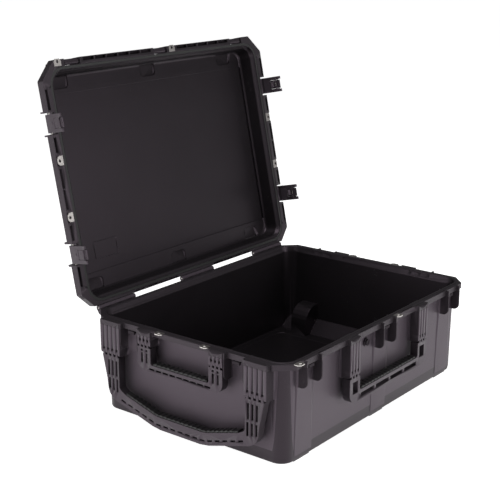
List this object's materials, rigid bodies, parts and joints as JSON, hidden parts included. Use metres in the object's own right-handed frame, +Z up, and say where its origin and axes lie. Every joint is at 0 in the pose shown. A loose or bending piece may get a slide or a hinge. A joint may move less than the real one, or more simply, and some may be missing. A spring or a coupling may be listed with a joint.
{
  "type": "wheeled hard transport case",
  "caption": "Wheeled hard transport case with a hinged lid standing open, trigger latches, fold-out tow and carry handles and a ribbed rim.",
  "frame": {"origin": "middle of the footprint, on the floor plane", "axes": "+X along the length towards the wheels, -Y towards the front latches, +Y towards the hinge, +Z up"},
  "size_m": [0.9724, 0.9076, 0.9615],
  "materials": {
    "case": "satin, finely textured, near black",
    "fittings": "satin, near black",
    "grip": "soft, matt, ribbed",
    "gasket": "matt, black",
    "wheel_hub": "satin, near black",
    "wheel_tyre": "matt, black",
    "steel": "bright, stamped",
    "vent": "satin, black"
  },
  "bodies": {
    "base": {"base_shell": "case", "hinge_pins": "steel", "handle_pins": "steel", "wheel_axles": "steel", "base_lock_plates": "steel", "vent_body": "vent", "vent_cap": "vent"},
    "lid": {"lid_shell": "case", "lid_gasket": "gasket", "latch_pins": "steel", "lid_lock_plates": "steel"},
    "tow_handle": {"tow_handle": "fittings", "tow_grip": "grip"},
    "tow_end_handle": {"tow_end_handle": "fittings", "tow_end_grip": "grip"},
    "wheel_end_handle": {"wheel_end_handle": "fittings", "wheel_end_grip": "grip"},
    "front_handle": {"front_handle": "fittings", "front_grip": "grip"},
    "front_wheel": {"front_wheel_hub": "wheel_hub", "front_wheel_tyre": "wheel_tyre"},
    "rear_wheel": {"rear_wheel_hub": "wheel_hub", "rear_wheel_tyre": "wheel_tyre"},
    "latch_front_left": {"latch_front_left": "fittings", "trigger_pin_front_left": "steel", "trigger_spring_front_left": "steel"},
    "trigger_front_left": {"trigger_front_left": "fittings"},
    "latch_front_mid": {"latch_front_mid": "fittings", "trigger_pin_front_mid": "steel", "trigger_spring_front_mid": "steel"},
    "trigger_front_mid": {"trigger_front_mid": "fittings"},
    "latch_front_right": {"latch_front_right": "fittings", "trigger_pin_front_right": "steel", "trigger_spring_front_right": "steel"},
    "trigger_front_right": {"trigger_front_right": "fittings"},
    "latch_tow_front": {"latch_tow_front": "fittings", "trigger_pin_tow_front": "steel", "trigger_spring_tow_front": "steel"},
    "trigger_tow_front": {"trigger_tow_front": "fittings"},
    "latch_tow_rear": {"latch_tow_rear": "fittings", "trigger_pin_tow_rear": "steel", "trigger_spring_tow_rear": "steel"},
    "trigger_tow_rear": {"trigger_tow_rear": "fittings"},
    "latch_wheel_front": {"latch_wheel_front": "fittings", "trigger_pin_wheel_front": "steel", "trigger_spring_wheel_front": "steel"},
    "trigger_wheel_front": {"trigger_wheel_front": "fittings"},
    "latch_wheel_rear": {"latch_wheel_rear": "fittings", "trigger_pin_wheel_rear": "steel", "trigger_spring_wheel_rear": "steel"},
    "trigger_wheel_rear": {"trigger_wheel_rear": "fittings"}
  },
  "joints": [
    {"name": "lid_hinge", "type": "hinge", "parent": "base", "child": "lid", "pos_m": [0, 0.343, 0.283], "axis": [1, 0, 0], "range_deg": [0, 101.5]},
    {"name": "tow_handle_pivot", "type": "hinge", "parent": "base", "child": "tow_handle", "pos_m": [-0.465, 0, 0.19], "axis": [0, 1, 0], "range_deg": [0, 95]},
    {"name": "tow_end_handle_pivot", "type": "hinge", "parent": "base", "child": "tow_end_handle", "pos_m": [-0.465, 0, 0.244], "axis": [0, 1, 0], "range_deg": [0, 95]},
    {"name": "wheel_end_handle_pivot", "type": "hinge", "parent": "base", "child": "wheel_end_handle", "pos_m": [0.465, 0, 0.244], "axis": [0, -1, 0], "range_deg": [0, 95]},
    {"name": "front_handle_pivot", "type": "hinge", "parent": "base", "child": "front_handle", "pos_m": [0, -0.34, 0.18], "axis": [-1, 0, 0], "range_deg": [0, 95]},
    {"name": "front_wheel_spin", "type": "hinge", "parent": "base", "child": "front_wheel", "pos_m": [0.418, -0.221, 0.047], "axis": [0, 1, 0], "continuous": true},
    {"name": "rear_wheel_spin", "type": "hinge", "parent": "base", "child": "rear_wheel", "pos_m": [0.418, 0.221, 0.047], "axis": [0, 1, 0], "continuous": true},
    {"name": "latch_front_left_swing", "type": "hinge", "parent": "lid", "child": "latch_front_left", "pos_m": [-0.356, 0.48779, 0.94951], "axis": [-1, 0, 0], "range_deg": [-174, 0]},
    {"name": "trigger_front_left_press", "type": "hinge", "parent": "latch_front_left", "child": "trigger_front_left", "pos_m": [-0.356, 0.54101, 0.93886], "axis": [1, 0, 0], "range_deg": [0, 18], "stiffness_Nm_per_rad": 0.05, "springref_deg": -11.46},
    {"name": "latch_front_mid_swing", "type": "hinge", "parent": "lid", "child": "latch_front_mid", "pos_m": [0, 0.48779, 0.94951], "axis": [-1, 0, 0], "range_deg": [-174, 0]},
    {"name": "trigger_front_mid_press", "type": "hinge", "parent": "latch_front_mid", "child": "trigger_front_mid", "pos_m": [0, 0.54101, 0.93886], "axis": [1, 0, 0], "range_deg": [0, 18], "stiffness_Nm_per_rad": 0.05, "springref_deg": -11.46},
    {"name": "latch_front_right_swing", "type": "hinge", "parent": "lid", "child": "latch_front_right", "pos_m": [0.356, 0.48779, 0.94951], "axis": [-1, 0, 0], "range_deg": [-174, 0]},
    {"name": "trigger_front_right_press", "type": "hinge", "parent": "latch_front_right", "child": "trigger_front_right", "pos_m": [0.356, 0.54101, 0.93886], "axis": [1, 0, 0], "range_deg": [0, 18], "stiffness_Nm_per_rad": 0.05, "springref_deg": -11.46},
    {"name": "latch_tow_front_swing", "type": "hinge", "parent": "lid", "child": "latch_tow_front", "pos_m": [-0.464, 0.45609, 0.79371], "axis": [0, -0.1994, -0.9799], "range_deg": [-9, 165]},
    {"name": "trigger_tow_front_press", "type": "hinge", "parent": "latch_tow_front", "child": "trigger_tow_front", "pos_m": [-0.47788, 0.40467, 0.80417], "axis": [0, 0.1994, 0.9799], "range_deg": [0, 18], "stiffness_Nm_per_rad": 0.05, "springref_deg": -11.46},
    {"name": "latch_tow_rear_swing", "type": "hinge", "parent": "lid", "child": "latch_tow_rear", "pos_m": [-0.464, 0.38432, 0.44093], "axis": [0, -0.1994, -0.9799], "range_deg": [-9, 165]},
    {"name": "trigger_tow_rear_press", "type": "hinge", "parent": "latch_tow_rear", "child": "trigger_tow_rear", "pos_m": [-0.47788, 0.33289, 0.45139], "axis": [0, 0.1994, 0.9799], "range_deg": [0, 18], "stiffness_Nm_per_rad": 0.05, "springref_deg": -11.46},
    {"name": "latch_wheel_front_swing", "type": "hinge", "parent": "lid", "child": "latch_wheel_front", "pos_m": [0.464, 0.45609, 0.79371], "axis": [0, 0.1994, 0.9799], "range_deg": [-9, 165]},
    {"name": "trigger_wheel_front_press", "type": "hinge", "parent": "latch_wheel_front", "child": "trigger_wheel_front", "pos_m": [0.47788, 0.40467, 0.80417], "axis": [0, -0.1994, -0.9799], "range_deg": [0, 18], "stiffness_Nm_per_rad": 0.05, "springref_deg": -11.46},
    {"name": "latch_wheel_rear_swing", "type": "hinge", "parent": "lid", "child": "latch_wheel_rear", "pos_m": [0.464, 0.38432, 0.44093], "axis": [0, 0.1994, 0.9799], "range_deg": [-9, 165]},
    {"name": "trigger_wheel_rear_press", "type": "hinge", "parent": "latch_wheel_rear", "child": "trigger_wheel_rear", "pos_m": [0.47788, 0.33289, 0.45139], "axis": [0, -0.1994, -0.9799], "range_deg": [0, 18], "stiffness_Nm_per_rad": 0.05, "springref_deg": -11.46}
  ]
}
